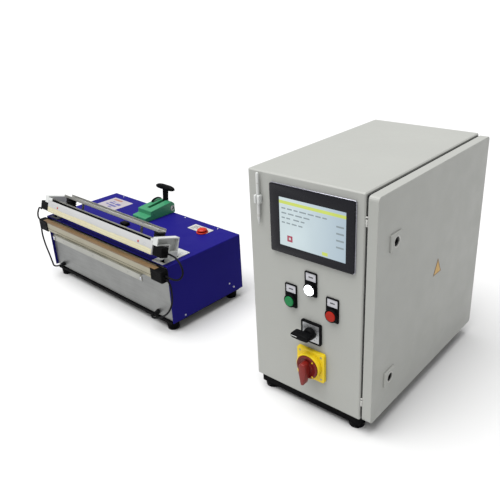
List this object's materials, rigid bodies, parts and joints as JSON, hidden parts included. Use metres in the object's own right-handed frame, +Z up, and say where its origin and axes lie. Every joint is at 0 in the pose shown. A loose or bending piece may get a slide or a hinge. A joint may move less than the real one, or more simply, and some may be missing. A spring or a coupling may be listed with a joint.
{
  "type": "impulse heat sealer",
  "caption": "Bench impulse heat sealer with a swinging upper jaw and a hand lever, beside its control cabinet with touch panel, push buttons and main switch.",
  "frame": {"origin": "centre of the footprint of both units, on the surface they stand on", "axes": "+Z up; +X from the bench unit towards the control cabinet; +Y from the operator towards the rear"},
  "size_m": [1.2779, 0.5565, 0.536],
  "materials": {
    "blue_paint": "satin powder coat, royal blue",
    "green_paint": "satin green paint",
    "grey_paint": "fine textured light grey powder coat",
    "panel_steel": "satin light grey metal plate",
    "aluminium": "extruded, satin",
    "steel": "zinc plated or bare machined steel",
    "jaw_white": "white satin coat",
    "cream_fabric": "woven glass cloth with a cream release coat",
    "brown_fabric": "brown release-coated woven glass tape",
    "heating_band": "thin bright resistance band",
    "black_plastic": "matt black",
    "rubber": "matt black rubber",
    "red_plastic": "glossy red",
    "green_plastic": "glossy green",
    "white_plastic": "glossy translucent white",
    "yellow_plastic": "glossy yellow",
    "screen": "lit display behind a clear film",
    "magnet_coil": "lacquered copper winding"
  },
  "bodies": {
    "root": {"button_plate": "panel_steel", "button_station": "black_plastic", "cabinet_body": "grey_paint", "cabinet_gland": "black_plastic", "cabinet_plinth": "black_plastic", "door_hinge": "steel", "hmi_frame": "black_plastic", "hmi_screen": "screen", "holding_magnet": "magnet_coil", "inner_frame": "steel", "jaw_front_bar": "aluminium", "lead_gland_left": "rubber", "lead_gland_right": "rubber", "left_jaw_lead": "rubber", "left_supply_lead": "rubber", "lever_catch": "black_plastic", "lever_housing": "green_paint", "lower_end_cap_left": "black_plastic", "lower_end_cap_right": "black_plastic", "lower_heating_band": "heating_band", "lower_jaw": "aluminium", "lower_ptfe_strip": "brown_fabric", "main_switch_plate": "yellow_plastic", "mounting_plate": "steel", "rear_socket": "black_plastic", "return_spring": "steel", "right_jaw_lead": "rubber", "right_supply_lead": "rubber", "sealer_base": "black_plastic", "sealer_cover": "blue_paint", "sealer_front_panel": "panel_steel", "selector_plate": "black_plastic", "slot_plate_left": "panel_steel", "slot_plate_right": "panel_steel", "stylus_holder": "white_plastic", "transformer": "steel"},
    "sealing_arm": {"pivot_shaft": "steel", "arm_left": "panel_steel", "arm_right": "panel_steel", "upper_jaw": "jaw_white", "upper_heating_band": "heating_band", "upper_ptfe_cover": "cream_fabric", "upper_end_cap_left": "black_plastic", "upper_end_cap_right": "black_plastic", "arm_cross_bar": "steel", "rail_buffer_left": "rubber", "rail_buffer_right": "rubber", "arm_rail": "aluminium"},
    "hand_lever": {"hand_lever": "black_plastic"},
    "sealer_button": {"sealer_button": "red_plastic"},
    "door": {"cabinet_door": "grey_paint", "door_gasket": "rubber"},
    "lock_upper": {"lock_insert_upper": "black_plastic"},
    "lock_lower": {"lock_insert_lower": "black_plastic"},
    "white_button": {"white_button": "white_plastic"},
    "green_button": {"green_button": "green_plastic"},
    "red_button": {"red_button": "red_plastic"},
    "selector": {"selector_knob": "black_plastic"},
    "main_switch": {"main_switch_knob": "red_plastic"},
    "stylus": {"stylus": "white_plastic"}
  },
  "joints": [
    {"name": "jaw_close", "type": "hinge", "parent": "root", "child": "sealing_arm", "pos_m": [-0.61694, -0.14443, 0.173], "axis": [1, 0, 0], "range_deg": [0, 17], "stiffness_Nm_per_rad": 4, "springref_deg": -57.3, "deforming": ["left_jaw_lead", "right_jaw_lead"]},
    {"name": "lever_pull", "type": "hinge", "parent": "root", "child": "hand_lever", "pos_m": [-0.33443, 0.03757, 0.22], "axis": [1, 0, 0], "range_deg": [0, 55]},
    {"name": "sealer_button_press", "type": "slide", "parent": "root", "child": "sealer_button", "axis": [0, 0, -1], "range_m": [0, 0.002], "stiffness_N_per_m": 600, "springref_m": -0.002},
    {"name": "white_button_press", "type": "slide", "parent": "root", "child": "white_button", "axis": [-0.037, 0.9993, 0], "range_m": [0, 0.003], "stiffness_N_per_m": 400, "springref_m": -0.002},
    {"name": "green_button_press", "type": "slide", "parent": "root", "child": "green_button", "axis": [-0.037, 0.9993, 0], "range_m": [0, 0.003], "stiffness_N_per_m": 400, "springref_m": -0.002},
    {"name": "red_button_press", "type": "slide", "parent": "root", "child": "red_button", "axis": [-0.037, 0.9993, 0], "range_m": [0, 0.003], "stiffness_N_per_m": 400, "springref_m": -0.002},
    {"name": "selector_turn", "type": "hinge", "parent": "root", "child": "selector", "pos_m": [0.47626, -0.23798, 0.208], "axis": [-0.037, 0.9993, 0], "range_deg": [0, 90]},
    {"name": "main_switch_turn", "type": "hinge", "parent": "root", "child": "main_switch", "pos_m": [0.47676, -0.23797, 0.131], "axis": [-0.037, 0.9993, 0], "range_deg": [0, 90]},
    {"name": "door_swing", "type": "hinge", "parent": "root", "child": "door", "pos_m": [0.5834, 0.27383, 0.036], "axis": [0, 0, 1], "range_deg": [0, 120]},
    {"name": "lock_upper_turn", "type": "hinge", "parent": "door", "child": "lock_upper", "pos_m": [0.61768, -0.1657, 0.427], "axis": [0.9993, 0.037, 0], "range_deg": [0, 90]},
    {"name": "lock_lower_turn", "type": "hinge", "parent": "door", "child": "lock_lower", "pos_m": [0.61768, -0.1657, 0.12], "axis": [0.9993, 0.037, 0], "range_deg": [0, 90]},
    {"name": "stylus_draw", "type": "slide", "parent": "root", "child": "stylus", "axis": [0, 0, 1], "range_m": [0, 0.06]}
  ],
  "couplings": [
    {"joint": "lever_pull", "follows": "jaw_close", "ratio": 3.2}
  ]
}
